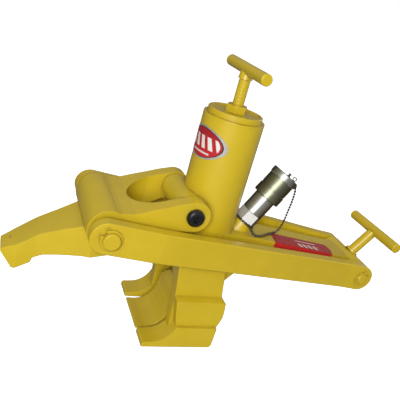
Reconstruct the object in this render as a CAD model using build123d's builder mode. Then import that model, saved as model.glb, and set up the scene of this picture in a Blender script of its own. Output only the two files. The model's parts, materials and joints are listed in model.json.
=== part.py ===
from build123d import *
from math import atan2, cos, degrees, hypot, radians, sin
from types import SimpleNamespace
import os

# Hydraulic ram in a lever frame: an upright cylinder on a clawed housing, with a push foot on
# the ram, a nose lever pivoted on the cylinder, and two side arms from the lever to a clamp screw.
# Frame (mm): +Z up the cylinder axis, +X towards the clamp screw end, +Y to the far side.
# Origin: on the cylinder axis, in the plane of the flat underside of the claws.

# ------------------------------------------------------------------ shared dimensions
RUN = 0.05                          # radial running clearance
FIT = 0.02                          # radial clearance of fixed fits

# Axes along Y
LEVER_PIN_X, LEVER_PIN_Z = -133.4, 145.6    # nose lever boss and arm ends
CROSS_PIN_X, CROSS_PIN_Z = 228.8, 106.8     # other arm ends and clamp screw
PIVOT_X, PIVOT_Z = -37.0, 172.8             # nose lever ears on the trunnion barrel
LEVER_PIN_R, CROSS_PIN_R = 9.8, 7.0

# Cylinder, cap and gland nut
TUBE_R, BORE_R = 37.4, 27.0
TUBE_Z, TUBE_TOP = 96, 284.5
CAP_R, CAP_TOP = 33.4, 291.4
DISH = 1.6                          # shallow recess in the cap's top
SPIGOT_R, SPIGOT_H = 29, 19         # cap spigot in the tube
CAP_GROOVE_Z, CAP_GROOVE_H, CAP_GROOVE_R = TUBE_TOP - 13, 4, 25.2
SEAL_GAP = 0.1                      # axial gap on each side of a seal in its groove
NUT_H = 7.4                         # gland nut above the cap
NUT_R = 11.4                        # across the hexagon flats, halved
GLAND_R = 9
FEED_R = 6.8

# Ram
ROD_R, ROD_HOLLOW_R = 17.0, 10.0
ROD_Z, ROD_HOLLOW_Z = 44, 168
PISTON_Z, PISTON_H, PISTON_SEAT_R = 240, 18, 15
PISTON_GROOVE_Z, PISTON_GROOVE_H, PISTON_GROOVE_R = 246, 6, 23
SEAT_R = 21                         # seats of the guide bush and the wiper
BUSH_Z, BUSH_H = 106, 18
FOOT_SCREW_R = 6

# Housing and claws
HOUSING_HALF, BOX_HALF, CLAW_HALF = 53, 64, 69.0    # half widths, from the neck downwards
FOOT_HALF = 32.0                    # half width of the push foot
FOOT_GAP = 7.0                      # slot between the push foot toe and each outer claw

# Side arms, and the cylinder's own arm between them
ARM_T, ARM_H, ARM_H_CROSS = 14.0, 18.9, 18.1        # thickness; half heights at the two pins
ARM_IN_LEVER, ARM_IN_CROSS = 63.0, 37.6             # inner faces, from the middle plane
ARM_OVER = 4.5                      # the lever end is struck this far beyond its pin
BODY_ARM_BASE, BODY_ARM_H, BODY_ARM_HALF = -16.5, 32, 25
BODY_ARM_TOP = BODY_ARM_BASE + BODY_ARM_H

# Nose lever pivot
EAR_IN, EAR_OUT, EAR_R = 37.3, 55.0, 19.2
BOSS_R, BOSS_HALF, BOSS_BORE_R = 24.0, 55.0, 12
EAR_BORE_R = 10.5
TRUNNION_R, TRUNNION_HALF = 17.5, 36.4
PIVOT_SCREW_R, PIVOT_HEAD_R = 7.95, 10.6

# Clamp screw and T-bars
CLAMP_ANGLE = 55.0                  # from +X
CLAMP_BAR_AT = 63.0                 # T-bar axis, distance from the cross pin
CLAMP_TIP_R, CLAMP_NECK_R = 4.0, 6.0
FEED_BAR_Z = 341.3
BAR_R, BAR_HALF = 6.9, 55.0
TENON_R, TENON_DROP = 3, 10         # screw tenon in the T-bar, from this far below its axis
THRUST_TENON_R = 3                  # lower end of the feed screw, in the thrust pad

# Coupler: foot point and angle of its axis
COUPLER_X, COUPLER_Z, COUPLER_ANGLE = 49.4, 141.5, 61.0     # angle from +X
PORT_AT, PORT_R = -4, 8.6           # coupler port: floor on the coupler axis, and radius
STUB_R = 9                          # nipple end inside the coupler body
COUPLER_R = 13
DUST_CAP_AT, DUST_CAP_R, DUST_CAP_H = 84, 19.4, 8.5

# The two pins with a circlip at each end. Groove and clip start just outside the arm face;
# lugs lie lug_spread degrees to each side of gap_angle, which the opening is centred on.
LEVER_PIN = SimpleNamespace(
    x=LEVER_PIN_X, z=LEVER_PIN_Z, radius=LEVER_PIN_R, arm_face=ARM_IN_LEVER + ARM_T,
    overhang=6.6, end_chamfer=1, groove_depth=0.8, clip_t=1.6, clip_r=12.6, gap_angle=222,
    lug_spread=22, lug_at=14.2, lug_r=2.2, lug_hole_r=0.9)
CROSS_PIN = SimpleNamespace(
    x=CROSS_PIN_X, z=CROSS_PIN_Z, radius=CROSS_PIN_R, arm_face=ARM_IN_CROSS + ARM_T,
    overhang=3.6, end_chamfer=0.8, groove_depth=0.6, clip_t=1.3, clip_r=9.6, gap_angle=-50,
    lug_spread=24, lug_at=10.6, lug_r=1.7, lug_hole_r=None)


# ------------------------------------------------------------------ planes and point helpers
def polar(radius, angle):
    """Point at a radius and an angle in degrees."""
    return radius * cos(radians(angle)), radius * sin(radians(angle))


COUPLER_DX, COUPLER_DZ = polar(1, COUPLER_ANGLE)
CLAMP_DX, CLAMP_DZ = polar(1, CLAMP_ANGLE)
CLAMP_BAR_X = CROSS_PIN_X + CLAMP_BAR_AT * CLAMP_DX
CLAMP_BAR_Z = CROSS_PIN_Z + CLAMP_BAR_AT * CLAMP_DZ

ARM_LENGTH = hypot(CROSS_PIN_X - LEVER_PIN_X, CROSS_PIN_Z - LEVER_PIN_Z)
ARM_DX, ARM_DZ = polar(
    1, degrees(atan2(CROSS_PIN_Z - LEVER_PIN_Z, CROSS_PIN_X - LEVER_PIN_X)))


def level(z):
    """Horizontal plane facing up."""
    return Plane.XY.offset(z)


def near_plane(x, y, z):
    """Plane facing -Y; sketch x = +X, sketch y = +Z."""
    return Plane(origin=(x, y, z), x_dir=(1, 0, 0), z_dir=(0, -1, 0))


def far_plane(x, y, z):
    """Plane facing +Y; sketch x = +X, sketch y = -Z."""
    return Plane(origin=(x, y, z), x_dir=(1, 0, 0), z_dir=(0, 1, 0))


def end_plane(x, z):
    """Plane facing +X; sketch x = +Y, sketch y = +Z."""
    return Plane(origin=(x, 0, z), x_dir=(0, 1, 0), z_dir=(1, 0, 0))


def arm_level(height):
    """Plane along the arms, above the line through both pins; sketch x runs from the lever pin."""
    base = Plane(
        origin=(LEVER_PIN_X, 0, LEVER_PIN_Z),
        x_dir=(ARM_DX, 0, ARM_DZ), z_dir=(-ARM_DZ, 0, ARM_DX))
    return base.offset(height)


def beside_coupler(distance, offset):
    """X and Z of a point along the coupler axis, offset square to it on the +X side."""
    return (COUPLER_X + distance * COUPLER_DX + offset * COUPLER_DZ,
            COUPLER_Z + distance * COUPLER_DZ - offset * COUPLER_DX)


def coupler_plane(distance):
    """Plane across the coupler axis, at a distance from its foot point."""
    x, z = beside_coupler(distance, 0)
    return Plane(origin=(x, 0, z), x_dir=(0, 1, 0), z_dir=(COUPLER_DX, 0, COUPLER_DZ))


def clamp_plane(distance):
    """Plane across the clamp screw axis, at a distance from the cross pin."""
    return Plane(
        origin=(CROSS_PIN_X + distance * CLAMP_DX, 0, CROSS_PIN_Z + distance * CLAMP_DZ),
        x_dir=(0, 1, 0), z_dir=(CLAMP_DX, 0, CLAMP_DZ))


def with_mirror(half):
    """Half outline followed by its mirror image about sketch x."""
    return half + [(x, -y) for x, y in reversed(half)]


# ------------------------------------------------------------------ repeated shapes
def rings(outer_r, inner_r, length, *planes):
    """Plain rings of one size, one extruded from each plane."""
    with BuildPart() as ring:
        for plane in planes:
            with BuildSketch(plane):
                Circle(outer_r)
                Circle(inner_r, mode=Mode.SUBTRACT)
            extrude(amount=length)
    return ring.part


def t_bar(x, z, half_length, hole_plane):
    """Bar along Y with rounded ends and a blind hole for the screw tenon."""
    with BuildPart() as bar:
        with BuildSketch(near_plane(x, half_length, z)):
            Circle(BAR_R)
        extrude(amount=2 * half_length)
        fillet(bar.edges().filter_by(GeomType.CIRCLE), 1.6)
        with BuildSketch(hole_plane):
            Circle(TENON_R + FIT)
        extrude(amount=21.05, mode=Mode.SUBTRACT)
    return bar.part


def grooved_pin(pin):
    """Pin along Y with a circlip groove outside each arm."""
    half_length = pin.arm_face + pin.overhang
    width = pin.clip_t + 0.1
    with BuildPart() as shaft:
        with BuildSketch(near_plane(pin.x, half_length, pin.z)):
            Circle(pin.radius)
        extrude(amount=2 * half_length)
        chamfer(shaft.edges().filter_by(GeomType.CIRCLE), pin.end_chamfer)
        for y in (pin.arm_face + 0.2, -(pin.arm_face + 0.2 + width)):
            with BuildSketch(far_plane(pin.x, y, pin.z)):
                Circle(12)
                Circle(pin.radius - pin.groove_depth, mode=Mode.SUBTRACT)
            extrude(amount=width, mode=Mode.SUBTRACT)
    return shaft.part


def circlips(pin):
    """Pair of open rings with two lugs each, in the grooves of a pin."""
    gap_half_angle = 14
    lugs = [polar(pin.lug_at, pin.gap_angle + spread)
            for spread in (pin.lug_spread, -pin.lug_spread)]
    opening = [(0, 0)] + [polar(20, pin.gap_angle + spread)
                          for spread in (-gap_half_angle, gap_half_angle)]
    with BuildPart() as clips:
        for y in (pin.arm_face + 0.25, -(pin.arm_face + 0.25 + pin.clip_t)):
            with BuildSketch(far_plane(pin.x, y, pin.z)):
                Circle(pin.clip_r)
                for lug in lugs:
                    with Locations(lug):
                        Circle(pin.lug_r)
                Circle(pin.radius - pin.groove_depth + RUN, mode=Mode.SUBTRACT)
                with BuildLine():
                    Polyline(*opening, close=True)
                make_face(mode=Mode.SUBTRACT)
                if pin.lug_hole_r:
                    for lug in lugs:
                        with Locations(lug):
                            Circle(pin.lug_hole_r, mode=Mode.SUBTRACT)
            extrude(amount=pin.clip_t)
    return clips.part


# ------------------------------------------------------------------ cylinder body
# Side outlines, (x, z)
TRUNNION_WEB = [
    (PIVOT_X, PIVOT_Z + 15), (PIVOT_X + 30, PIVOT_Z + 12), (0, 100), (-30, 104), (-34, 130),
    (PIVOT_X - 13, PIVOT_Z - 10),
]
HOUSING = [
    (-39.5, 112), (-38, 101), (-34, 68), (-32, 20), (30, 20), (29, 67), (24, 99), (27, 112),
]
LOWER_BOX = [
    (-34, 63.5), (-29.5, 40), (-25.5, 24), (27, 24), (31.4, 36), (33.3, 44), (32.6, 55),
    (31.6, 63.5),
]
CLAW_BLOCK = [
    (-66.4, 0.0), (-66.4, 4.6), (-64.9, 6.4), (-59.0, 6.6), (-54.0, 7.0), (-50.0, 7.6),
    (-46.0, 8.7), (-42.5, 10.2), (-39.2, 12.2), (-36.2, 14.6), (-33.4, 17.6), (-30.8, 21.2),
    (-28.8, 24.8), (-26.9, 28.8), (27.1, 28.8), (27.2, 25), (26.2, 3), (23.5, 0),
]
ARM_GUSSET = [(18, 106), (18, 76), (27, 78), (36, 88), (44, 98), (52, 108), (26, 112)]
# Cylinder's arm seen from above, one half: (distance from the lever pin, y)
BODY_ARM = [(132, -36), (200, -BODY_ARM_HALF), (ARM_LENGTH, -BODY_ARM_HALF)]
# Shoulder sections: (z, centre x, length in x, width in y)
SHOULDER = [(65.5, -2.4, 62.5, 2 * HOUSING_HALF), (63.5, -1.2, 65.6, 2 * BOX_HALF)]


def body_blank():
    """Outside of the cylinder body, before the slots and bores are cut."""
    barrel_half = ARM_IN_CROSS - 0.4
    with BuildPart() as blank:
        with BuildSketch(level(TUBE_Z)):
            Circle(TUBE_R)
        extrude(amount=TUBE_TOP - TUBE_Z)
        # arm towards +X, tapering to the end barrel
        with BuildSketch(arm_level(BODY_ARM_BASE)):
            with BuildLine():
                Polyline(*with_mirror(BODY_ARM), close=True)
            make_face()
        extrude(amount=BODY_ARM_H)
        # end barrel and trunnion barrel
        for x, z, radius, half in (
            (CROSS_PIN_X, CROSS_PIN_Z, 18.3, barrel_half),
            (PIVOT_X, PIVOT_Z, TRUNNION_R, TRUNNION_HALF),
        ):
            with BuildSketch(near_plane(x, half, z)):
                Circle(radius)
            extrude(amount=2 * half)
        # web from the trunnion to the tube, then the slightly raked square housing
        for outline, half in ((TRUNNION_WEB, 30), (HOUSING, HOUSING_HALF)):
            with BuildSketch(near_plane(0, half, 0)):
                with BuildLine():
                    Polyline(*outline, close=True)
                make_face()
            extrude(amount=2 * half)
        # shoulder between the neck and the wider lower box
        for z, x, length, width in SHOULDER:
            with BuildSketch(level(z)):
                with Locations((x, 0)):
                    Rectangle(length, width)
        loft()
        # lower box, bottom block with the claws, gusset under the arm
        for outline, half in ((LOWER_BOX, BOX_HALF), (CLAW_BLOCK, CLAW_HALF), (ARM_GUSSET, 41)):
            with BuildSketch(near_plane(0, half, 0)):
                with BuildLine():
                    Polyline(*outline, close=True)
                make_face()
            extrude(amount=2 * half)
        # port boss for the coupler
        with BuildSketch(coupler_plane(-16)):
            Circle(15.5)
        extrude(amount=26)
    return blank.part


def cylinder_body():
    """Tube, trunnion barrel, slotted arm, housing and two outer claws."""
    blank = body_blank()
    toe_half = FOOT_HALF + FOOT_GAP
    with BuildPart() as body:
        add(blank)
        # slot for the push foot and its toe: (centre x, length in x, width in y, height)
        for x, length, width, height in (
            (-3, 42, 2 * FOOT_HALF + 2 * RUN, 97),
            (-60, 80, 2 * toe_half, 62),
        ):
            with BuildSketch(level(-1)):
                with Locations((x, 0)):
                    Rectangle(length, width)
            extrude(amount=height, mode=Mode.SUBTRACT)
        # round top of the toe slot
        with BuildSketch(end_plane(-60, 61)):
            Circle(toe_half)
        extrude(amount=40, mode=Mode.SUBTRACT)
        # bores on the cylinder axis, then the start of the pressure gallery
        for plane, radius, depth in (
            (level(BUSH_Z + BUSH_H), BORE_R, 200),
            (level(90), ROD_R + 0.5, 60),
            (level(BUSH_Z), SEAT_R, 30),                    # guide bush seat
            (level(90), SEAT_R, 11),                        # wiper seat
            (level(TUBE_TOP - SPIGOT_H), SPIGOT_R, 30),     # cap counterbore
            (coupler_plane(-33), 2.5, 40),                  # drilling from the coupler port
            (coupler_plane(PORT_AT), PORT_R, 30),
        ):
            with BuildSketch(plane):
                Circle(radius)
            extrude(amount=depth, mode=Mode.SUBTRACT)
        # drilling up the tube wall, and cross hole above the piston
        with BuildSketch(level(115)):
            with Locations((32, 0)):
                Circle(2)
        extrude(amount=150, mode=Mode.SUBTRACT)
        with BuildSketch(end_plane(20, 263)):
            Circle(1.8)
        extrude(amount=12.5, mode=Mode.SUBTRACT)
        # holes for the two pivot screws
        for plane in (near_plane(PIVOT_X, 50, PIVOT_Z), far_plane(PIVOT_X, -50, PIVOT_Z)):
            with BuildSketch(plane):
                Circle(8.0)
            extrude(amount=36, mode=Mode.SUBTRACT)
        # slot for the cross pin, long way along the clamp screw axis
        slot_plane = Plane(
            origin=(CROSS_PIN_X, 40, CROSS_PIN_Z),
            x_dir=(CLAMP_DX, 0, CLAMP_DZ), z_dir=(0, -1, 0))
        with BuildSketch(slot_plane):
            with Locations((1.6, 0)):
                SlotOverall(25.0, 2 * (CROSS_PIN_R + RUN))
        extrude(amount=80, mode=Mode.SUBTRACT)
        # clamp screw hole, and spot face for its collar
        for start, radius, depth in ((-17, 4.6, 20), (0, CLAMP_NECK_R + RUN, 60), (16.2, 10.5, 30)):
            with BuildSketch(clamp_plane(start)):
                Circle(radius)
            extrude(amount=depth, mode=Mode.SUBTRACT)
    return body.part


# ------------------------------------------------------------------ cap, nut, bush, wiper
def top_cap():
    """Cap with a spigot in the tube, seal groove, dished top and hole for the gland nut."""
    with BuildPart() as cap:
        with BuildSketch(level(TUBE_TOP - SPIGOT_H)):
            Circle(SPIGOT_R - FIT)
        extrude(amount=SPIGOT_H)
        with BuildSketch(level(TUBE_TOP)):
            Circle(CAP_R)
        extrude(amount=CAP_TOP - TUBE_TOP)
        chamfer(cap.edges().group_by(Axis.Z)[-1], 0.8)
        with BuildSketch(level(CAP_GROOVE_Z)):
            Circle(30)
            Circle(CAP_GROOVE_R, mode=Mode.SUBTRACT)
        extrude(amount=CAP_GROOVE_H, mode=Mode.SUBTRACT)
        with BuildSketch(level(CAP_TOP - DISH)):
            Circle(29.8)
        extrude(amount=5, mode=Mode.SUBTRACT)
        with BuildSketch(level(260)):
            Circle(GLAND_R)
        extrude(amount=60, mode=Mode.SUBTRACT)
    return cap.part


def cap_seal():
    """Rounded ring in the cap's groove."""
    with BuildPart() as seal:
        with BuildSketch(level(CAP_GROOVE_Z + SEAL_GAP)):
            Circle(SPIGOT_R - FIT)
            Circle(CAP_GROOVE_R + RUN, mode=Mode.SUBTRACT)
        extrude(amount=CAP_GROOVE_H - 2 * SEAL_GAP)
        fillet(seal.edges(), 1.2)
    return seal.part


def gland_nut():
    """Hexagon on the cap, spigot down through it, running bore for the feed screw."""
    hex_z = CAP_TOP - DISH
    spigot_z = TUBE_TOP - 15
    with BuildPart() as nut:
        with BuildSketch(level(hex_z)):
            RegularPolygon(NUT_R, 6, major_radius=False)
        extrude(amount=NUT_H + DISH)
        # a cone widening downwards bevels the top corners
        with BuildSketch(level(CAP_TOP + NUT_H)):
            Circle(11.8)
        extrude(amount=-NUT_H - DISH, taper=-30, mode=Mode.INTERSECT)
        with BuildSketch(level(spigot_z)):
            Circle(GLAND_R - FIT)
        extrude(amount=hex_z - spigot_z + 0.5)
        with BuildSketch(level(260)):
            Circle(FEED_R + RUN)
        extrude(amount=60, mode=Mode.SUBTRACT)
    return nut.part


def guide_bush():
    return rings(SEAT_R - FIT, ROD_R + RUN, BUSH_H, level(BUSH_Z))


def rod_wiper():
    return rings(SEAT_R - RUN, ROD_R + RUN, 4.6, level(96.4))


# ------------------------------------------------------------------ ram
def ram_rod():
    """Rod with a reduced end for the piston, hollow above and drilled through for the screw."""
    with BuildPart() as rod:
        with BuildSketch(level(ROD_Z)):
            Circle(ROD_R)
        extrude(amount=PISTON_Z - ROD_Z)
        with BuildSketch(level(PISTON_Z)):
            Circle(PISTON_SEAT_R)
        extrude(amount=PISTON_H)
        chamfer(rod.edges().group_by(Axis.Z)[-1], 1)
        for z, radius, depth in ((ROD_HOLLOW_Z, ROD_HOLLOW_R, 100), (40, FOOT_SCREW_R + RUN, 140)):
            with BuildSketch(level(z)):
                Circle(radius)
            extrude(amount=depth, mode=Mode.SUBTRACT)
    return rod.part


def piston():
    with BuildPart() as disc:
        with BuildSketch(level(PISTON_Z)):
            Circle(BORE_R - RUN)
            Circle(PISTON_SEAT_R + FIT, mode=Mode.SUBTRACT)
        extrude(amount=PISTON_H)
        chamfer(disc.edges().filter_by(GeomType.CIRCLE).sort_by(SortBy.RADIUS)[-2:], 1)
        with BuildSketch(level(PISTON_GROOVE_Z)):
            Circle(30)
            Circle(PISTON_GROOVE_R, mode=Mode.SUBTRACT)
        extrude(amount=PISTON_GROOVE_H, mode=Mode.SUBTRACT)
    return disc.part


def piston_seal():
    return rings(BORE_R - RUN, PISTON_GROOVE_R + RUN, PISTON_GROOVE_H - 2 * SEAL_GAP,
                 level(PISTON_GROOVE_Z + SEAL_GAP))


def return_spring():
    """Ten-turn coil between the guide bush and the piston."""
    pitch = 11.1
    with BuildPart() as spring:
        with BuildLine() as coil:
            Helix(pitch=pitch, height=10 * pitch, radius=23.8, center=(0, 0, 126.2))
        with BuildSketch(Plane(origin=coil.line @ 0, z_dir=coil.line % 0)):
            Circle(1.9)
        sweep(is_frenet=True)
    return spring.part


# Side outline of the shank and scooped toe, (x, z)
FOOT_SIDE = [
    (-66, 0), (-66, 1.6), (-64.8, 2.8), (-54, 2.8), (-47, 4.0), (-41.5, 6.6), (-36.5, 11),
    (-32, 18), (-29, 26), (-27, 36), (-26, 50), (-23.9, 60), (-23.9, 66), (17.9, 66), (17.9, 0),
]
# End outline, its crown falling away towards both sides, (y, z)
FOOT_END = [
    (-FOOT_HALF, 0), (FOOT_HALF, 0), (FOOT_HALF, 46), (16, 60), (7, 66),
    (-7, 66), (-16, 60), (-FOOT_HALF, 46),
]


def push_foot():
    """Square shank in the housing with a thin scooped toe."""
    with BuildPart() as foot:
        with BuildSketch(near_plane(0, FOOT_HALF, 0)):
            with BuildLine():
                Polyline(*FOOT_SIDE, close=True)
            make_face()
        extrude(amount=2 * FOOT_HALF)
        with BuildSketch(end_plane(-70, 0)):
            with BuildLine():
                Polyline(*FOOT_END, close=True)
            make_face()
        extrude(amount=100, mode=Mode.INTERSECT)
        # rod seat and screw hole
        for z, radius, depth in ((ROD_Z, ROD_R + FIT, 40), (12, FOOT_SCREW_R + RUN, 60)):
            with BuildSketch(level(z)):
                Circle(radius)
            extrude(amount=depth, mode=Mode.SUBTRACT)
    return foot.part


def foot_screw():
    """Socket head screw up the rod, its head in the rod's hollow."""
    with BuildPart() as screw:
        for z, radius, length in ((14, FOOT_SCREW_R - RUN, 156), (ROD_HOLLOW_Z + FIT, 9, 11)):
            with BuildSketch(level(z)):
                Circle(radius)
            extrude(amount=length)
        chamfer(screw.edges().group_by(Axis.Z)[-1], 0.8)
        with BuildSketch(level(173.5)):
            RegularPolygon(5, 6, major_radius=False)
        extrude(amount=10, mode=Mode.SUBTRACT)
    return screw.part


# ------------------------------------------------------------------ nose lever
# Side outlines, (x, z)
FORK = [
    (-150, 140), (-143, 166), (-133, 169), (-120, 167.6), (-106, 168.9), (-92, 174.2),
    (-74, 180.6), (-58, 186.6), (-43, 191.0), (-37, 192.0), (-28, 189.8), (-20, 181.8),
    (-18, 172.8), (-21, 162.4), (-28, 156.0), (-37, 153.7), (-50, 153.6), (-72, 141),
    (-100, 127), (-132, 122), (-150, 131),
]
BEAK = [
    (-239.6, 91), (-239.6, 87.2), (-225.8, 69.4), (-221.5, 70.2), (-206.2, 79.6), (-204.6, 85.4),
    (-194.4, 91.4), (-175.2, 95.4), (-141, 102), (-118, 108), (-104, 128), (-133, 152),
    (-153.5, 138.6), (-178, 127.4), (-202, 116), (-222, 101.2),
]
EAR_RELIEF = [(-100, 169), (-52, 154), (-50, 110), (-106, 110), (-106, 160)]
# Near half of the lever seen from above, (x, y)
LEVER_PLAN = [
    (-240, -14), (-222, -21), (-202, -22), (-178, -27), (-153.5, -34.5), (-142, -41),
    (-122, -EAR_OUT), (-10, -EAR_OUT),
]


def nose_lever():
    """Forked lever: two ears on the pivot, a boss on the lever pin and a beak beyond it."""
    slot_end_x, slot_arc_x = -10, -74
    with BuildPart() as lever:
        with BuildSketch(near_plane(0, EAR_OUT, 0)):
            with BuildLine():
                Polyline(*FORK, close=True)
            make_face()
            with Locations((PIVOT_X, PIVOT_Z)):
                Circle(EAR_R)
        extrude(amount=2 * EAR_OUT)
        with BuildSketch(near_plane(0, 40, 0)):
            with BuildLine():
                Polyline(*BEAK, close=True)
            make_face()
        extrude(amount=80)
        with BuildSketch(level(60)):
            with BuildLine():
                Polyline(*with_mirror(LEVER_PLAN), close=True)
            make_face()
        extrude(amount=160, mode=Mode.INTERSECT)
        with BuildSketch(near_plane(LEVER_PIN_X, BOSS_HALF, LEVER_PIN_Z)):
            Circle(BOSS_R)
        extrude(amount=2 * BOSS_HALF)
        # U slot between the ears
        with BuildSketch(level(90)):
            with BuildLine():
                Line((slot_end_x, EAR_IN), (slot_arc_x, EAR_IN))
                ThreePointArc((slot_arc_x, EAR_IN), (slot_arc_x - 32.5, 0), (slot_arc_x, -EAR_IN))
                Line((slot_arc_x, -EAR_IN), (slot_end_x, -EAR_IN))
                Line((slot_end_x, -EAR_IN), (slot_end_x, EAR_IN))
            make_face()
        extrude(amount=140, mode=Mode.SUBTRACT)
        # relief on the outside of the far ear only, down to y = 49
        with BuildSketch(near_plane(0, 59, 0)):
            with BuildLine():
                Polyline(*EAR_RELIEF, close=True)
            make_face()
        extrude(amount=10, mode=Mode.SUBTRACT)
        # bores for the boss and ear bushes
        for x, z, radius in (
            (LEVER_PIN_X, LEVER_PIN_Z, BOSS_BORE_R),
            (PIVOT_X, PIVOT_Z, EAR_BORE_R),
        ):
            with BuildSketch(near_plane(x, 70, z)):
                Circle(radius)
            extrude(amount=140, mode=Mode.SUBTRACT)
        # mould mark near the beak tip
        mark_plane = Plane(
            origin=(-229.5, 0, 96.6), x_dir=(0, 1, 0), z_dir=(-0.526, 0, 0.850))
        with BuildSketch(mark_plane):
            with Locations((5, 0)):
                SlotOverall(9, 2.2)
        extrude(amount=-2.0, mode=Mode.SUBTRACT)
    return lever.part


def boss_bush():
    return rings(BOSS_BORE_R - FIT, LEVER_PIN_R + RUN, 2 * BOSS_HALF,
                 near_plane(LEVER_PIN_X, BOSS_HALF, LEVER_PIN_Z))


def ear_bushes():
    return rings(EAR_BORE_R - FIT, PIVOT_SCREW_R + RUN, EAR_OUT - EAR_IN,
                 near_plane(PIVOT_X, EAR_OUT, PIVOT_Z), near_plane(PIVOT_X, -EAR_IN, PIVOT_Z))


def pin_spacers():
    """Spacers between the lever boss and the arms."""
    gap = 0.05
    return rings(15, LEVER_PIN_R + RUN, ARM_IN_LEVER - BOSS_HALF - 2 * gap,
                 near_plane(LEVER_PIN_X, ARM_IN_LEVER - gap, LEVER_PIN_Z),
                 near_plane(LEVER_PIN_X, -BOSS_HALF - gap, LEVER_PIN_Z))


def pivot_screws():
    """Mirrored pair of button head socket screws in the ears."""
    head_y = -55.3
    with BuildPart() as screws:
        with BuildSketch(far_plane(PIVOT_X, head_y, PIVOT_Z)):
            Circle(PIVOT_SCREW_R)
        extrude(amount=36)
        with BuildSketch(near_plane(PIVOT_X, head_y, PIVOT_Z)):
            Circle(PIVOT_HEAD_R)
        extrude(amount=6.2)
        fillet(screws.faces().sort_by(Axis.Y)[0].edges(), 4.2)
        with BuildSketch(far_plane(PIVOT_X, -62, PIVOT_Z)):
            RegularPolygon(4.2, 6, major_radius=False)
        extrude(amount=4.6, mode=Mode.SUBTRACT)
        mirror(about=Plane.XZ)
    return screws.part


# ------------------------------------------------------------------ side arms and pins
# Inner face of the near arm seen from above: (distance from the lever pin, y)
ARM_INNER = [(-30, -ARM_IN_LEVER), (60, -ARM_IN_LEVER), (340, -ARM_IN_CROSS), (400, -ARM_IN_CROSS)]
# Lower edge of the arm seen from the side: (distance from the lever pin, height)
ARM_LOWER = [(-ARM_OVER, -ARM_H), (ARM_LENGTH, -ARM_H_CROSS)]


def side_arm_near():
    """Round-ended bar, joggled inwards towards the cross pin."""
    side_plane = Plane(
        origin=(LEVER_PIN_X, -20, LEVER_PIN_Z), x_dir=(ARM_DX, 0, ARM_DZ), z_dir=(0, -1, 0))
    outer_face = [(x, y - ARM_T) for x, y in reversed(ARM_INNER)]
    with BuildPart() as arm:
        with BuildSketch(side_plane):
            with Locations((-ARM_OVER, 0)):
                Circle(ARM_H)
            with Locations((ARM_LENGTH, 0)):
                Circle(ARM_H_CROSS)
            with BuildLine():
                Polyline(*with_mirror(ARM_LOWER), close=True)
            make_face()
            Circle(LEVER_PIN_R + FIT, mode=Mode.SUBTRACT)
            with Locations((ARM_LENGTH, 0)):
                Circle(CROSS_PIN_R + 0.10, mode=Mode.SUBTRACT)
        extrude(amount=70)
        with BuildSketch(arm_level(-40)):
            with BuildLine():
                Polyline(*ARM_INNER, *outer_face, close=True)
            make_face()
        extrude(amount=80, mode=Mode.INTERSECT)
        chamfer(arm.faces().sort_by(Axis.Y)[0].edges(), 0.9)
    return arm.part


def side_arm_far():
    near_arm = side_arm_near()
    with BuildPart() as arm:
        add(near_arm)
        mirror(about=Plane.XZ, mode=Mode.REPLACE)
    return arm.part


def pin_a():
    return grooved_pin(LEVER_PIN)


def circlips_a():
    return circlips(LEVER_PIN)


def pin_b():
    """Cross pin, drilled through for the tip of the clamp screw."""
    plain_pin = grooved_pin(CROSS_PIN)
    with BuildPart() as pin:
        add(plain_pin)
        with BuildSketch(clamp_plane(-20)):
            Circle(CLAMP_TIP_R + RUN)
        extrude(amount=40, mode=Mode.SUBTRACT)
    return pin.part


def circlips_b():
    return circlips(CROSS_PIN)


# ------------------------------------------------------------------ clamp screw and feed screw
def clamp_screw():
    """Stepped screw through the cross pin, with a collar and a tenon for its T-bar."""
    with BuildPart() as screw:
        for start, radius, length in (
            (-15.5, CLAMP_TIP_R, 33.2),
            (15.2, CLAMP_NECK_R, 2.4),
            (17.6, 9.8, 3.4),                           # collar
            (20, 7.3, CLAMP_BAR_AT - 20 - 4.6),         # shank
        ):
            with BuildSketch(clamp_plane(start)):
                Circle(radius)
            extrude(amount=length)
        with BuildSketch(near_plane(CLAMP_BAR_X, 60, CLAMP_BAR_Z)):
            Circle(BAR_R + FIT)
        extrude(amount=120, mode=Mode.SUBTRACT)
        with BuildSketch(clamp_plane(CLAMP_BAR_AT - TENON_DROP)):
            Circle(TENON_R)
        extrude(amount=TENON_DROP + 1)
    return screw.part


def clamp_bar():
    return t_bar(CLAMP_BAR_X, CLAMP_BAR_Z, BAR_HALF - 1, clamp_plane(CLAMP_BAR_AT - 20))


def feed_screw():
    """Screw through the gland nut, with a tenon at each end and a tapered head."""
    shank_z, head_z = 226, 330
    with BuildPart() as screw:
        for z, radius, length in ((shank_z, FEED_R, FEED_BAR_Z - shank_z), (219, THRUST_TENON_R, 8)):
            with BuildSketch(level(z)):
                Circle(radius)
            extrude(amount=length)
        with BuildSketch(level(head_z)):
            Circle(8.6)
        extrude(amount=FEED_BAR_Z - head_z - 3.4, taper=8)
        with BuildSketch(near_plane(0, 60, FEED_BAR_Z)):
            Circle(BAR_R + FIT)
        extrude(amount=120, mode=Mode.SUBTRACT)
        with BuildSketch(level(FEED_BAR_Z - TENON_DROP)):
            Circle(TENON_R)
        extrude(amount=TENON_DROP + 1)
    return screw.part


def feed_bar():
    return t_bar(0, FEED_BAR_Z, BAR_HALF, level(FEED_BAR_Z - 20))


def thrust_pad():
    """Button on the lower end of the feed screw."""
    with BuildPart() as pad:
        with BuildSketch(level(213)):
            Circle(8.5)
        extrude(amount=12.9)
        chamfer(pad.edges().group_by(Axis.Z)[0], 1)
        with BuildSketch(level(218.9)):
            Circle(THRUST_TENON_R + RUN)
        extrude(amount=10, mode=Mode.SUBTRACT)
    return pad.part


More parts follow.
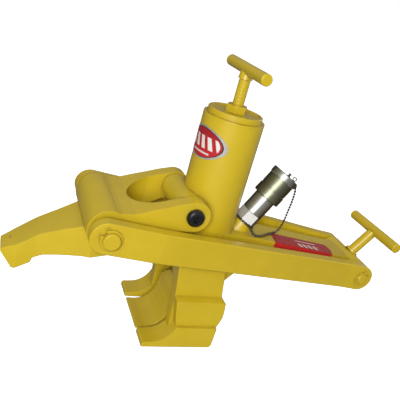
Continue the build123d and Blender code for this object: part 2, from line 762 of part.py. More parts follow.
# ------------------------------------------------------------------ hydraulic coupler
def coupler_nipple():
    """Hollow nipple in the port: collar, hexagon, then a stub inside the coupler body."""
    with BuildPart() as nipple:
        for start, radius, length in ((PORT_AT + 0.1, PORT_R - FIT, 14), (10, 11.5, 3)):
            with BuildSketch(coupler_plane(start)):
                Circle(radius)
            extrude(amount=length)
        with BuildSketch(coupler_plane(13)):
            RegularPolygon(13.5, 6, major_radius=False, rotation=12)
        extrude(amount=14)
        with BuildSketch(coupler_plane(27)):
            Circle(STUB_R)
        extrude(amount=8)
        with BuildSketch(coupler_plane(-5)):
            Circle(4)
        extrude(amount=45, mode=Mode.SUBTRACT)
    return nipple.part


def coupler_body():
    """Two-step barrel with a stepped bore."""
    with BuildPart() as barrel:
        for start, radius, length in ((27, 14.8, 25.6), (52, COUPLER_R, 30)):
            with BuildSketch(coupler_plane(start)):
                Circle(radius)
            extrude(amount=length)
        chamfer(barrel.edges().group_by(Axis.Z)[0], 0.6)
        for start, radius, depth in ((26, STUB_R + FIT, 9.5), (35, 8, 30), (60, 10, 30)):
            with BuildSketch(coupler_plane(start)):
                Circle(radius)
            extrude(amount=depth, mode=Mode.SUBTRACT)
    return barrel.part


def coupler_sleeve():
    """Sleeve around the coupler body, reduced over its outer part behind a shallow groove."""
    with BuildPart() as sleeve:
        with BuildSketch(coupler_plane(52.7)):
            Circle(19.0)
            Circle(COUPLER_R + RUN, mode=Mode.SUBTRACT)
        extrude(amount=31.2)
        chamfer(sleeve.edges().filter_by(GeomType.CIRCLE).sort_by(SortBy.RADIUS)[-2:], 0.7)
        for radius, length in ((18.4, 20), (17.6, 1.1)):
            with BuildSketch(coupler_plane(66)):
                Circle(22)
                Circle(radius, mode=Mode.SUBTRACT)
            extrude(amount=length, mode=Mode.SUBTRACT)
    return sleeve.part


def coupler_poppet():
    """Disc with a tapered nose and a stem, in the coupler's bore."""
    radius = 9.6
    with BuildPart() as poppet:
        with BuildSketch(coupler_plane(62)):
            Circle(radius)
        extrude(amount=4)
        with BuildSketch(coupler_plane(66)):
            Circle(radius)
        extrude(amount=3, taper=30)
        with BuildSketch(coupler_plane(46)):
            Circle(3)
        extrude(amount=17)
    return poppet.part


def dust_cap():
    """Cap over the coupler's open end, with a plug and a ring groove underneath."""
    with BuildPart() as cap:
        with BuildSketch(coupler_plane(DUST_CAP_AT)):
            Circle(DUST_CAP_R)
        extrude(amount=DUST_CAP_H)
        chamfer(cap.edges().group_by(Axis.Z)[-1], 0.9)
        with BuildSketch(coupler_plane(74)):
            Circle(9.9)
        extrude(amount=11)
        with BuildSketch(coupler_plane(83)):
            Circle(16)
            Circle(13.2, mode=Mode.SUBTRACT)
        extrude(amount=5, mode=Mode.SUBTRACT)
    return cap.part


def chain_ring():
    """Ring around the nipple's collar, under the hexagon."""
    return rings(17, 11.6, 2.2, coupler_plane(10.3))


LOOP_AT = 88                        # chain loop on the dust cap, along the coupler axis


def cap_loop():
    """Small ring on the rim of the dust cap for the chain."""
    x, z = beside_coupler(LOOP_AT, 19.3)
    loop_plane = Plane(origin=(x, 0, z), x_dir=(COUPLER_DZ, 0, -COUPLER_DX), z_dir=(0, -1, 0))
    with BuildPart() as loop:
        with BuildSketch(loop_plane):
            with Locations((2.6, 0)):
                Circle(3.2)
                Circle(1.7, mode=Mode.SUBTRACT)
        extrude(amount=1.2, both=True)
        with BuildSketch(coupler_plane(DUST_CAP_AT)):
            Circle(DUST_CAP_R + FIT)
        extrude(amount=DUST_CAP_H, mode=Mode.SUBTRACT)
    return loop.part


# Chain from just beyond the cap loop to the chain ring, (x, y, z); its start is worked out
CHAIN_START_X, CHAIN_START_Z = beside_coupler(LOOP_AT, 26.65)
CHAIN_POINTS = [
    (CHAIN_START_X, 0, CHAIN_START_Z), (121.5, -1, 197), (121, -3, 184), (117, -5, 171),
    (110, -8, 160), (100, -11, 155.5), (88, -14, 156.5), (80, -16, 156), (73, -16, 152.5),
    (68.6, -13, 148.4),
]


def bead_chain():
    """Thin cord with evenly spaced beads."""
    bead_pitch = 3.4
    with BuildLine(mode=Mode.PRIVATE) as chain_run:
        Spline(*CHAIN_POINTS)
    cord = chain_run.edges()[0]
    bead_gaps = int(cord.length / bead_pitch)
    with BuildPart() as chain:
        with BuildSketch(Plane(origin=cord @ 0, z_dir=cord % 0)):
            Circle(0.55)
        sweep(path=cord)
        for i in range(bead_gaps + 1):
            along = i / bead_gaps
            with Locations(Plane(origin=cord @ along, z_dir=cord % along).location):
                Sphere(1.35, rotation=(90, 0, 0))
    return chain.part


# ------------------------------------------------------------------ badge and label
STICKER_T, STICKER_GAP = 0.35, 0.01     # thickness, and gap off the surface beneath


def badge_oval():
    """Blank oval badge wrapped on the tube."""
    angle = 196.0
    tangent_x, tangent_y = polar(1, angle + 90)
    out_x, out_y = polar(1, angle)
    badge_plane = Plane(
        origin=(0, 0, 251.0), x_dir=(tangent_x, tangent_y, 0), z_dir=(out_x, out_y, 0))
    with BuildPart() as badge:
        with BuildSketch(badge_plane):
            Ellipse(31.0, 19.5)
        extrude(amount=60)
        with BuildSketch(level(200)):
            Circle(TUBE_R + STICKER_T)
            Circle(TUBE_R + STICKER_GAP, mode=Mode.SUBTRACT)
        extrude(amount=100, mode=Mode.INTERSECT)
    return badge.part


def arm_label():
    """Blank label on top of the cylinder's arm, folded over its near edge."""
    start, end = 229, 323               # near edge, distances from the lever pin
    inner_y = -BODY_ARM_HALF - STICKER_GAP
    outer_y = inner_y - STICKER_T
    fold_base = 2
    top = [(start, outer_y), (end, outer_y), (327.5, -12), (326, 2), (233, 2)]
    fold = [(start, outer_y), (end, outer_y), (end, inner_y), (start, inner_y)]
    top_base = BODY_ARM_TOP + STICKER_GAP
    with BuildPart() as label:
        for outline, base, height in (
            (top, top_base, STICKER_T),
            (fold, fold_base, top_base + STICKER_T - fold_base),
        ):
            with BuildSketch(arm_level(base)):
                with BuildLine():
                    Polyline(*outline, close=True)
                make_face()
            extrude(amount=height)
    return label.part


# ------------------------------------------------------------------ build and export
PIECES = (
    cylinder_body, top_cap, cap_seal, gland_nut, guide_bush, rod_wiper,
    ram_rod, piston, piston_seal, return_spring, push_foot, foot_screw,
    nose_lever, boss_bush, ear_bushes, pivot_screws,
    side_arm_near, side_arm_far, pin_a, circlips_a, pin_b, circlips_b,
    clamp_screw, clamp_bar, feed_screw, feed_bar, thrust_pad,
    coupler_nipple, coupler_body, coupler_sleeve, coupler_poppet, dust_cap,
    chain_ring, cap_loop, pin_spacers, bead_chain, badge_oval, arm_label,
)

os.makedirs("parts", exist_ok=True)
for build_piece in PIECES:
    name = build_piece.__name__
    piece = build_piece()
    piece.label = name
    export_step(piece, f"parts/{name}.step")
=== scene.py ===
"""Looks of a yellow hydraulic ram tool, with a small studio round it.

Metres, +Z up. The cylinder, feed screw and return spring stand on the Z axis. The arm lies in
the XZ plane, running towards +X and slightly down. The coupler, with its dust cap at the far
end, slants up towards +X. The badge is on the -X side, and the camera looks from -X and -Y.
"""

import json
import math

import bmesh
import bpy
from mathutils import Matrix, Vector


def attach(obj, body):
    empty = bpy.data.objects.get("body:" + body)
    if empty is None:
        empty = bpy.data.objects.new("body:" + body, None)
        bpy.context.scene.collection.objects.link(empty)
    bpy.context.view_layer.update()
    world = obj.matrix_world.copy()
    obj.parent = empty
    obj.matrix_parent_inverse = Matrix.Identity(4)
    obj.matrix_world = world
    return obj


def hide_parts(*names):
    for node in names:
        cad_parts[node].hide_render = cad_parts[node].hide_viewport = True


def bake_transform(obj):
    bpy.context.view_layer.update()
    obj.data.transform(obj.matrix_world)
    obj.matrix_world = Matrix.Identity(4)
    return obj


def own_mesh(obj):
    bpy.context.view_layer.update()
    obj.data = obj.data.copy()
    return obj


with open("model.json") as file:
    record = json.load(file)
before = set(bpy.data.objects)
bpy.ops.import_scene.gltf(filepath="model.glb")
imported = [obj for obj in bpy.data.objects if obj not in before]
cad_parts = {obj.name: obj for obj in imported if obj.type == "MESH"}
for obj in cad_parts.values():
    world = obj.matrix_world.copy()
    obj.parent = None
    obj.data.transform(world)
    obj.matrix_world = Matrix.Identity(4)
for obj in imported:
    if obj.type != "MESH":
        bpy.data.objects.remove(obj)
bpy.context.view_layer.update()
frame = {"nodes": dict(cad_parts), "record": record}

# ---------------------------------------------------------------- sizes and places (metres)

Z_AXIS = Vector((0.0, 0.0, 1.0))

COUPLER_TILT = math.radians(61.0)  # above +X, in the XZ plane
COUPLER_AXIS = Vector((math.cos(COUPLER_TILT), 0.0, math.sin(COUPLER_TILT)))
COUPLER_ORIGIN = Vector((0.0494, 0.0, 0.1415))

ARM_ALONG = Vector((362.2, 0.0, -38.8)).normalized()
ARM_UP = Vector((-ARM_ALONG.z, 0.0, ARM_ALONG.x))
ARM_ORIGIN = Vector((-0.1334, 0.0, 0.1456))

BADGE_AZIMUTH = math.radians(196.0)
BADGE_ACROSS = Vector((-math.sin(BADGE_AZIMUTH), math.cos(BADGE_AZIMUTH), 0.0))
BADGE_Z = 0.251
BADGE_HALF_WIDTH = 0.031
BADGE_HALF_HEIGHT = 0.0195

THREAD_PITCH = 0.0040
THREAD_FADE = (0.312, 0.324)  # heights between which the thread gets shallower
THREAD_TOP = 0.3285

BEAD_RADIUS = 0.00166
BEAD_PITCH = 0.0040
BEAD_SIDES = 14
BEAD_BANDS = 10
LINK_RADIUS = 0.00055
LINK_SIDES = 8

SPRING_RADIUS = 0.0238
SPRING_WIRE = 0.0019
SPRING_FOOT_Z = 0.1243
SPRING_RISE = 0.1110
SPRING_TURNS = 10
SPRING_STEPS = 360

FLOOR_RADIUS = 14.0
FLOOR_SIDES = 64
FLOOR_Z = -0.0740  # a full ram stroke below the claws, so the lowered push foot stays in sight


def from_mm(*position):
    return Vector(position) / 1000.0


def on_coupler(along, across=0.0, y=0.0):
    """Point in mm from the coupler's origin; across is positive to the lower +X side."""
    across_axis = Vector((COUPLER_AXIS.z, 0.0, -COUPLER_AXIS.x))
    offset = COUPLER_AXIS * (along / 1000) + across_axis * (across / 1000)
    return COUPLER_ORIGIN + offset + Vector((0, y / 1000, 0))


def axes_at(direction):
    """Two unit vectors square to the direction, then the unit direction itself."""
    ahead = direction.normalized()
    side = ahead.cross(Vector((0.0, 1.0, 0.0)))
    if side.length < 1e-3:
        side = ahead.cross(Vector((1.0, 0.0, 0.0)))
    side.normalize()
    return side, ahead.cross(side), ahead


# ---------------------------------------------------------------- shader helpers


def rgb(red, green, blue):
    return (red, green, blue, 1.0)


class Graph:
    """Short way to write the node tree of a material or a world."""

    def __init__(self, owner):
        owner.use_nodes = True
        self.tree = owner.node_tree
        self.tree.nodes.clear()

    def node(self, kind, **properties):
        node = self.tree.nodes.new(kind)
        for key, value in properties.items():
            setattr(node, key, value)
        return node

    def link(self, output, socket):
        self.tree.links.new(output, socket)

    def put(self, value, socket):
        """Link an output to the socket, or set the socket to a plain value."""
        if hasattr(value, "is_output"):
            self.link(value, socket)
        else:
            socket.default_value = value

    def ramp(self, value, span=(0.3, 0.7), to=(0.0, 1.0)):
        """Map the span of the value linearly to another range, clamped."""
        node = self.node("ShaderNodeMapRange")
        self.link(value, node.inputs[0])
        for i, limit in enumerate((*span, *to), start=1):
            node.inputs[i].default_value = limit
        return node.outputs[0]

    def by_ray(self, seen, unseen):
        """One shader for camera rays, another for all other rays."""
        path = self.node("ShaderNodeLightPath")
        mix = self.node("ShaderNodeMixShader")
        self.link(path.outputs["Is Camera Ray"], mix.inputs[0])
        self.link(unseen.outputs[0], mix.inputs[1])
        self.link(seen.outputs[0], mix.inputs[2])
        return mix.outputs[0]


class Surface(Graph):
    """A material with a Principled shader and patterns in object coordinates."""

    def __init__(self, name):
        self.material = bpy.data.materials.new(name)
        super().__init__(self.material)
        self.out = self.node("ShaderNodeOutputMaterial")
        self.shader = self.node("ShaderNodeBsdfPrincipled")
        self.link(self.shader.outputs[0], self.out.inputs[0])
        self.place = self.node("ShaderNodeTexCoord").outputs["Object"]

    def set(self, name, value):
        self.put(value, self.shader.inputs[name])

    def math(self, operation, *values):
        node = self.node("ShaderNodeMath", operation=operation)
        for value, socket in zip(values, node.inputs):
            self.put(value, socket)
        return node.outputs[0]

    def below(self, value, limit):
        return self.math("LESS_THAN", value, limit)

    def above(self, value, limit):
        return self.math("GREATER_THAN", value, limit)

    def within(self, value, half):
        """1 where the value is less than half away from zero."""
        return self.below(self.math("ABSOLUTE", value), half)

    def both(self, first, second):
        return self.math("MULTIPLY", first, second)

    def between(self, value, low, high):
        return self.both(self.above(value, low), self.below(value, high))

    def slanted_bars(self, along, across, pitch, lean, filled):
        """Bars repeating each pitch; lean is the run across that shifts them by one pitch."""
        along_turns = self.math("DIVIDE", along, pitch)
        turns = self.math("ADD", along_turns, self.math("DIVIDE", across, lean))
        return self.below(self.math("FRACT", turns), filled)

    def mix(self, factor, first, second):
        node = self.node("ShaderNodeMix", data_type="RGBA")
        self.put(factor, node.inputs[0])
        self.put(first, node.inputs[6])
        self.put(second, node.inputs[7])
        return node.outputs[2]

    def noise(self, scale, detail=3.0, rough=0.6):
        node = self.node("ShaderNodeTexNoise")
        node.inputs["Scale"].default_value = scale
        node.inputs["Detail"].default_value = detail
        node.inputs["Roughness"].default_value = rough
        self.link(self.place, node.inputs["Vector"])
        return node.outputs[0]

    def grain(self, scale):
        return self.noise(scale, detail=2.0, rough=0.5)

    def coordinate(self, axis):
        node = self.node("ShaderNodeSeparateXYZ")
        self.link(self.place, node.inputs[0])
        return node.outputs[axis]

    def dot(self, vector, direction):
        node = self.node("ShaderNodeVectorMath", operation="DOT_PRODUCT")
        self.link(vector, node.inputs[0])
        node.inputs[1].default_value = direction
        return node.outputs["Value"]

    def facing(self, blend):
        """Rises from 0 face-on to 1 edge-on."""
        node = self.node("ShaderNodeLayerWeight")
        node.inputs["Blend"].default_value = blend
        return node.outputs["Facing"]

    def bump(self, height, strength, distance, edge=None):
        """Relief; edge is the radius of shading that rounds the corners."""
        node = self.node("ShaderNodeBump")
        node.inputs["Strength"].default_value = strength
        node.inputs["Distance"].default_value = distance
        self.link(height, node.inputs["Height"])
        if edge:
            bevel = self.node("ShaderNodeBevel", samples=4)
            bevel.inputs["Radius"].default_value = edge
            self.link(bevel.outputs[0], node.inputs["Normal"])
        self.link(node.outputs[0], self.shader.inputs["Normal"])


# ---------------------------------------------------------------- materials


def thread_wave(s):
    """Height of a helical ridge round the Z axis."""
    first, second, axis = axes_at(Z_AXIS)
    shift = s.node("ShaderNodeVectorMath", operation="SUBTRACT")
    s.link(s.place, shift.inputs[0])
    shift.inputs[1].default_value = (0.0, 0.0, 0.0)
    place = shift.outputs[0]
    angle = s.math("ARCTAN2", s.dot(place, second), s.dot(place, first))
    part_turn = s.math("DIVIDE", angle, math.tau)
    turns = s.math("ADD", s.math("DIVIDE", s.dot(place, axis), THREAD_PITCH), part_turn)
    return s.math("PINGPONG", turns, 0.5)


def yellow_enamel(name, edge, threaded=False):
    s = Surface(name)
    broad = s.noise(scale=9.0)
    fine = s.noise(scale=60.0, detail=4.0)
    base = s.mix(s.ramp(broad), rgb(0.57, 0.410, 0.013), rgb(0.625, 0.460, 0.018))
    fine = s.ramp(fine, span=(0.35, 0.75), to=(0.0, 0.35))
    base = s.mix(fine, base, rgb(0.52, 0.365, 0.013))
    # painted shade: the enamel is darkened to olive brown where it is seen edge-on, and darkened
    # further in the corners, where shade falls
    painted_edge_on_shade = s.ramp(s.facing(blend=0.35), span=(0.50, 1.0), to=(0.0, 0.60))
    base = s.mix(painted_edge_on_shade, base, rgb(0.23, 0.15, 0.016))
    # painted shade in the corners, worked out from ambient occlusion
    occlusion = s.node("ShaderNodeAmbientOcclusion", samples=4)
    occlusion.inputs["Distance"].default_value = 0.012
    painted_corner_shade = s.ramp(occlusion.outputs["AO"], span=(0.25, 0.85), to=(0.50, 0.0))
    base = s.mix(painted_corner_shade, base, rgb(0.20, 0.13, 0.012))
    s.set("Base Color", base)
    s.set("Roughness", s.ramp(s.noise(scale=35.0), to=(0.30, 0.42)))
    s.set("Specular IOR Level", 0.42)
    s.set("Coat Weight", 0.25)
    s.set("Coat Roughness", 0.22)
    height = s.grain(scale=420.0)
    if threaded:
        z = s.coordinate("Z")
        depth = s.ramp(z, span=THREAD_FADE, to=(1.0, 0.25))
        depth = s.both(depth, s.below(z, THREAD_TOP))
        thread = s.math("MULTIPLY", thread_wave(s), depth)
        grain_share = 0.15
        height = s.math("ADD", thread, s.math("MULTIPLY", height, grain_share))
        s.bump(height, strength=0.45, distance=0.0008, edge=edge)
    else:
        s.bump(height, strength=0.10, distance=0.0006, edge=edge)
    return s.material


def metal(name, dark, light, rough, rings=0.0, axis=None, edge=0.0004, metallic=1.0, painted_rim_shade=None):
    """Cloudy metal. With an axis it gets fine turned rings along it, of strength rings.

    painted_rim_shade is a painted shade that darkens the flanks seen edge-on, but not the end faces
    that look along the axis.
    """
    s = Surface(name)
    cloud = s.noise(scale=38.0, rough=0.5)
    base = s.mix(s.ramp(cloud, span=(0.3, 0.75)), rgb(*dark), rgb(*light))
    # painted shade: darkens the flanks seen edge-on
    if painted_rim_shade:
        painted_flank_shade = s.ramp(s.facing(blend=0.5), span=(0.12, 0.55))
        normal = s.node("ShaderNodeNewGeometry").outputs["Normal"]
        end_face = s.above(s.dot(normal, axis), limit=0.85)
        painted_flank_shade = s.both(painted_flank_shade, s.math("SUBTRACT", 1.0, end_face))
        base = s.mix(painted_flank_shade, base, rgb(*painted_rim_shade))
    s.set("Base Color", base)
    s.set("Metallic", metallic)
    patches = s.noise(scale=45.0, rough=0.5)
    s.set("Roughness", s.ramp(patches, to=(rough * 0.9, rough * 1.2)))
    if axis is None:
        s.bump(s.grain(scale=600.0), strength=0.08, distance=0.0002, edge=edge)
    else:
        rings_per_metre = 2600.0
        along = s.dot(s.place, axis)
        lines = s.node("ShaderNodeTexNoise", noise_dimensions="1D")
        lines.inputs["Scale"].default_value = 1.0
        lines.inputs["Detail"].default_value = 2.0
        s.link(s.math("MULTIPLY", along, rings_per_metre), lines.inputs["W"])
        s.bump(lines.outputs[0], strength=rings, distance=0.00015, edge=edge)
    return s.material


def rubber(name):
    s = Surface(name)
    cloud = s.noise(scale=120.0)
    s.set("Base Color", s.mix(cloud, rgb(0.016, 0.016, 0.017), rgb(0.04, 0.04, 0.042)))
    s.set("Roughness", s.ramp(s.noise(scale=90.0), to=(0.55, 0.75)))
    s.bump(s.grain(scale=900.0), strength=0.15, distance=0.0002, edge=0.0003)
    return s.material


def badge(name):
    """Oval badge: silver edge, thin dark line, red field, a row of slanted white bars."""
    s = Surface(name)
    across = s.dot(s.place, BADGE_ACROSS)
    z = s.math("SUBTRACT", s.coordinate("Z"), BADGE_Z)
    wide = s.math("DIVIDE", across, BADGE_HALF_WIDTH)
    high = s.math("DIVIDE", z, BADGE_HALF_HEIGHT)
    # 0 in the middle of the oval, 1 at its outline
    square = s.math("ADD", s.math("MULTIPLY", wide, wide), s.math("MULTIPLY", high, high))
    oval = s.math("SQRT", square)
    grain = s.grain(scale=260.0)

    field = s.ramp(z, span=(-0.012, 0.012))
    red = s.mix(field, rgb(0.50, 0.012, 0.020), rgb(0.33, 0.008, 0.014))
    grain_share = 0.25
    red = s.mix(s.math("MULTIPLY", grain, grain_share), red, rgb(0.62, 0.05, 0.05))

    bars = s.slanted_bars(across, z, pitch=0.0105, lean=0.030, filled=0.56)
    bar_middle = 0.001
    band = s.within(s.math("SUBTRACT", z, bar_middle), half=0.0072)
    inner = s.below(oval, limit=0.80)
    white = s.both(s.both(bars, band), inner)
    colour = s.mix(white, red, rgb(0.78, 0.74, 0.70))

    # short line under the bars
    line_drop = 0.0113
    line = s.within(s.math("ADD", z, line_drop), half=0.0011)
    line = s.both(line, s.within(across, half=0.015))
    colour = s.mix(line, colour, rgb(0.70, 0.62, 0.60))

    dark_line = s.above(oval, limit=0.865)
    colour = s.mix(dark_line, colour, rgb(0.035, 0.012, 0.012))
    silver = s.above(oval, limit=0.905)
    silver_colour = s.mix(grain, rgb(0.42, 0.42, 0.40), rgb(0.62, 0.62, 0.60))
    s.set("Base Color", s.mix(silver, colour, silver_colour))
    silver_metallic = 0.5
    s.set("Metallic", s.math("MULTIPLY", silver, silver_metallic))
    s.set("Roughness", s.ramp(grain, to=(0.28, 0.40)))
    s.bump(grain, strength=0.05, distance=0.0002)
    return s.material


def arm_label(name):
    """Red film with slanted white bars and a thin white line on its top."""
    s = Surface(name)
    along = s.math("SUBTRACT", s.dot(s.place, ARM_ALONG), ARM_ALONG.dot(ARM_ORIGIN))
    y = s.coordinate("Y")
    height = s.math("SUBTRACT", s.dot(s.place, ARM_UP), ARM_UP.dot(ARM_ORIGIN))
    grain = s.noise(scale=220.0)
    on_top = s.above(height, limit=0.0153)
    # painted shade: the label's top is a darker red than its side
    red = s.mix(on_top, rgb(0.60, 0.020, 0.022), rgb(0.30, 0.010, 0.012))
    grain_share = 0.3
    red = s.mix(s.math("MULTIPLY", grain, grain_share), red, rgb(0.70, 0.06, 0.05))

    bars = s.slanted_bars(along, y, pitch=0.0085, lean=0.024, filled=0.5)
    band = s.between(y, low=-0.0225, high=-0.0135)
    reach = s.between(along, low=0.270, high=0.304)
    white = s.both(s.both(bars, band), s.both(reach, on_top))
    line_offset = 0.0062  # towards -Y
    line = s.within(s.math("ADD", y, line_offset), half=0.0009)
    line = s.both(line, s.both(reach, on_top))
    white = s.math("MAXIMUM", white, line)
    s.set("Base Color", s.mix(white, red, rgb(0.72, 0.66, 0.60)))
    s.set("Roughness", s.ramp(grain, to=(0.25, 0.38)))
    s.bump(grain, strength=0.05, distance=0.0002)
    return s.material


# enamel: radius of the rounded corners, and whether it carries the thread
ENAMELS = {
    "enamel_yellow": dict(edge=0.0011),
    "enamel_yellow_cast": dict(edge=0.0020),
    "enamel_yellow_thread": dict(edge=0.0004, threaded=True),
    "enamel_yellow_clamp": dict(edge=0.0006),
}
# metals: arguments of metal()
METALS = {
    "zinc_plate": dict(
        dark=(0.20, 0.205, 0.135), light=(0.28, 0.285, 0.21), rough=0.36,
        rings=0.30, axis=COUPLER_AXIS, metallic=0.9, painted_rim_shade=(0.045, 0.040, 0.014)),
    "zinc_plate_cap": dict(
        dark=(0.32, 0.33, 0.29), light=(0.41, 0.42, 0.38), rough=0.36,
        rings=0.20, axis=COUPLER_AXIS, metallic=0.85, painted_rim_shade=(0.06, 0.055, 0.026)),
    "zinc_plate_body": dict(
        dark=(0.36, 0.37, 0.34), light=(0.45, 0.46, 0.43), rough=0.34,
        rings=0.18, axis=COUPLER_AXIS, metallic=0.85, painted_rim_shade=(0.055, 0.040, 0.018)),
    "zinc_plate_hex": dict(
        dark=(0.74, 0.75, 0.73), light=(0.84, 0.85, 0.83), rough=0.48,
        rings=0.05, axis=COUPLER_AXIS, metallic=0.45, painted_rim_shade=(0.075, 0.055, 0.028)),
    "zinc_spacer": dict(dark=(0.34, 0.30, 0.14), light=(0.50, 0.45, 0.24), rough=0.35),
    "black_oxide": dict(
        dark=(0.012, 0.012, 0.014), light=(0.035, 0.035, 0.038), rough=0.36,
        edge=0.0005, metallic=0.6),
    "bronze": dict(dark=(0.36, 0.20, 0.07), light=(0.52, 0.33, 0.14), rough=0.32),
    "hard_chrome": dict(
        dark=(0.62, 0.63, 0.66), light=(0.76, 0.77, 0.79), rough=0.10, rings=0.1, axis=Z_AXIS),
    "machined_steel": dict(
        dark=(0.36, 0.36, 0.37), light=(0.52, 0.52, 0.53), rough=0.28, rings=0.3, axis=Z_AXIS),
    "spring_steel": dict(dark=(0.09, 0.09, 0.10), light=(0.18, 0.18, 0.19), rough=0.34),
    "chain_steel": dict(dark=(0.060, 0.050, 0.036), light=(0.15, 0.13, 0.10), rough=0.34),
}
MATERIALS = {name: yellow_enamel(name, **values) for name, values in ENAMELS.items()}
MATERIALS.update({name: metal(name, **values) for name, values in METALS.items()})
for make, name in ((rubber, "seal_rubber"), (badge, "badge_print"), (arm_label, "arm_label_print")):
    MATERIALS[name] = make(name)

# material of a piece by its node name; other pieces go by their slot
NODE_MATERIAL = {
    "cylinder_body": "enamel_yellow_cast",
    "nose_lever": "enamel_yellow_cast",
    "push_foot": "enamel_yellow_cast",
    "feed_screw": "enamel_yellow_thread",
    "clamp_screw": "enamel_yellow_clamp",
    "coupler_nipple": "zinc_plate_hex",
    "coupler_body": "zinc_plate_body",
    "coupler_sleeve": "zinc_plate",
    "dust_cap": "zinc_plate_cap",
    "cap_loop": "chain_steel",
    "chain_ring": "chain_steel",
    "bead_chain": "chain_steel",
    "pin_spacers": "zinc_spacer",
    "badge_oval": "badge_print",
    "arm_label": "arm_label_print",
}
# slots whose material has another name than the slot
SLOT_MATERIAL = {"yellow_paint": "enamel_yellow", "label_film": "arm_label_print"}


def dress_cad_pieces():
    slots = {part["node"]: part["material_slot"] for part in frame["record"]["subparts"]}
    for name, piece in frame["nodes"].items():
        look = NODE_MATERIAL.get(name)
        if look is None:
            look = SLOT_MATERIAL.get(slots[name], slots[name])
        piece.data.materials.clear()
        piece.data.materials.append(MATERIALS[look])


dress_cad_pieces()

# ---------------------------------------------------------------- mesh helpers


def mesh_object(name, bm, material):
    mesh = bpy.data.meshes.new(name)
    bm.normal_update()
    bm.to_mesh(mesh)
    bm.free()
    for polygon in mesh.polygons:
        polygon.use_smooth = True
    piece = bpy.data.objects.new(name, mesh)
    bpy.context.scene.collection.objects.link(piece)
    mesh.materials.append(material)
    return piece


def angles_round(count):
    return [k * math.tau / count for k in range(count)]


def add_ring(bm, centre, direction, radius, sides):
    first, second, _ = axes_at(direction)
    return [
        bm.verts.new(centre + (first * math.cos(angle) + second * math.sin(angle)) * radius)
        for angle in angles_round(sides)
    ]


def neighbours(items, closed=False):
    return list(zip(items, items[1:])) + ([(items[-1], items[0])] if closed else [])


def tangents(points, closed):
    """Direction at each point, from the one before it to the one after."""
    if closed:
        padded = [points[-1], *points, points[0]]
    else:
        padded = [points[0], *points, points[-1]]
    return [after - before for before, after in zip(padded, padded[2:])]


def lathe(bm, origin, direction, profile, sides):
    """Turn a profile of (distance along, radius) round the direction."""
    ahead = direction.normalized()
    rings = []
    for along, radius in profile:
        centre = origin + ahead * along
        if radius < 1e-6:
            rings.append([bm.verts.new(centre)])
        else:
            rings.append(add_ring(bm, centre, direction, radius, sides))
    for a, b in neighbours(rings):
        for k in range(sides):
            after = (k + 1) % sides
            if len(a) == 1:
                bm.faces.new((a[0], b[k], b[after]))
            elif len(b) == 1:
                bm.faces.new((a[k], b[0], a[after]))
            else:
                bm.faces.new((a[k], b[k], b[after], a[after]))


def tube_along(bm, points, radius, sides, closed=False):
    """Round bar along a run of points."""
    rings = [
        add_ring(bm, point, tangent, radius, sides)
        for point, tangent in zip(points, tangents(points, closed))
    ]
    for a, b in neighbours(rings, closed):
        for k in range(sides):
            after = (k + 1) % sides
            bm.faces.new((a[k], a[after], b[after], b[k]))
    if not closed:
        bm.faces.new(rings[0][::-1])
        bm.faces.new(rings[-1])


def smooth_run(points, step, cuts=24):
    """Catmull-Rom curve through the points, cut into equal lengths close to step."""
    padded = [points[0] * 2 - points[1]] + points + [points[-1] * 2 - points[-2]]
    fine = []
    for p0, p1, p2, p3 in zip(padded, padded[1:], padded[2:], padded[3:]):
        for k in range(cuts):
            s = k / cuts
            linear = (p2 - p0) * s
            square = (2 * p0 - 5 * p1 + 4 * p2 - p3) * s * s
            cube = (3 * p1 - p0 - 3 * p2 + p3) * s**3
            fine.append(0.5 * ((2 * p1) + linear + square + cube))
    fine.append(points[-1])
    travelled = [0.0]
    for a, b in neighbours(fine):
        travelled.append(travelled[-1] + (b - a).length)
    count = round(travelled[-1] / step)
    run = []
    i = 0
    for k in range(count + 1):
        wanted = travelled[-1] * k / count
        while i < len(travelled) - 2 and travelled[i + 1] < wanted:
            i += 1
        share = (wanted - travelled[i]) / (travelled[i + 1] - travelled[i])
        run.append(fine[i].lerp(fine[i + 1], share))
    return run


# ---------------------------------------------------------------- new pieces

# x, y, z in mm: down beside the dust cap, on to the arm and back along it to the coupler
CHAIN_ROUTE = [
    (114.6, 0, 203.3), (116.0, 0.8, 192.9), (116.5, 1.8, 182.1), (116.4, 2.8, 171.2),
    (116.5, 3.8, 160.1), (115.6, 4.8, 148.8), (113.0, 5.4, 140.4), (107.0, 3.0, 137.3),
    (97, -3.6, 138.2), (86, -11.5, 139.3), (77.6, -17.5, 140.3), (70, -21.3, 141.1),
    (63.6, -21.6, 142.6), (58.6, -18.6, 147.4),
]
# (distance along, radius) of the rivet in metres
RIVET_PROFILE = [
    (0, 0), (0, 0.0026), (0.0012, 0.0026), (0.0016, 0.0015),
    (0.0030, 0.0015), (0.0036, 0.0024), (0.0044, 0.0020), (0.0048, 0),
]


def add_beads(bm, run, closed=False):
    """A ball at each point, with a thin rod from each to the next."""
    half_turn = [k * math.pi / BEAD_BANDS for k in range(BEAD_BANDS + 1)]
    ball = [(-BEAD_RADIUS * math.cos(a), BEAD_RADIUS * math.sin(a)) for a in half_turn]
    for point, tangent in zip(run, tangents(run, closed)):
        lathe(bm, point, tangent, ball, BEAD_SIDES)
    for a, b in neighbours(run, closed):
        length = (b - a).length
        rod = [(0, 0), (0, LINK_RADIUS), (length, LINK_RADIUS), (length, 0)]
        lathe(bm, a, b - a, rod, LINK_SIDES)


def chain_beads():
    points = [on_coupler(88, 21.9)]
    points += [from_mm(*point) for point in CHAIN_ROUTE]
    points.append(on_coupler(12.0, 0.5, -15.4))
    bm = bmesh.new()
    add_beads(bm, smooth_run(points, BEAD_PITCH))
    chain = mesh_object("chain_beads", bm, MATERIALS["chain_steel"])
    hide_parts("bead_chain")
    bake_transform(chain)


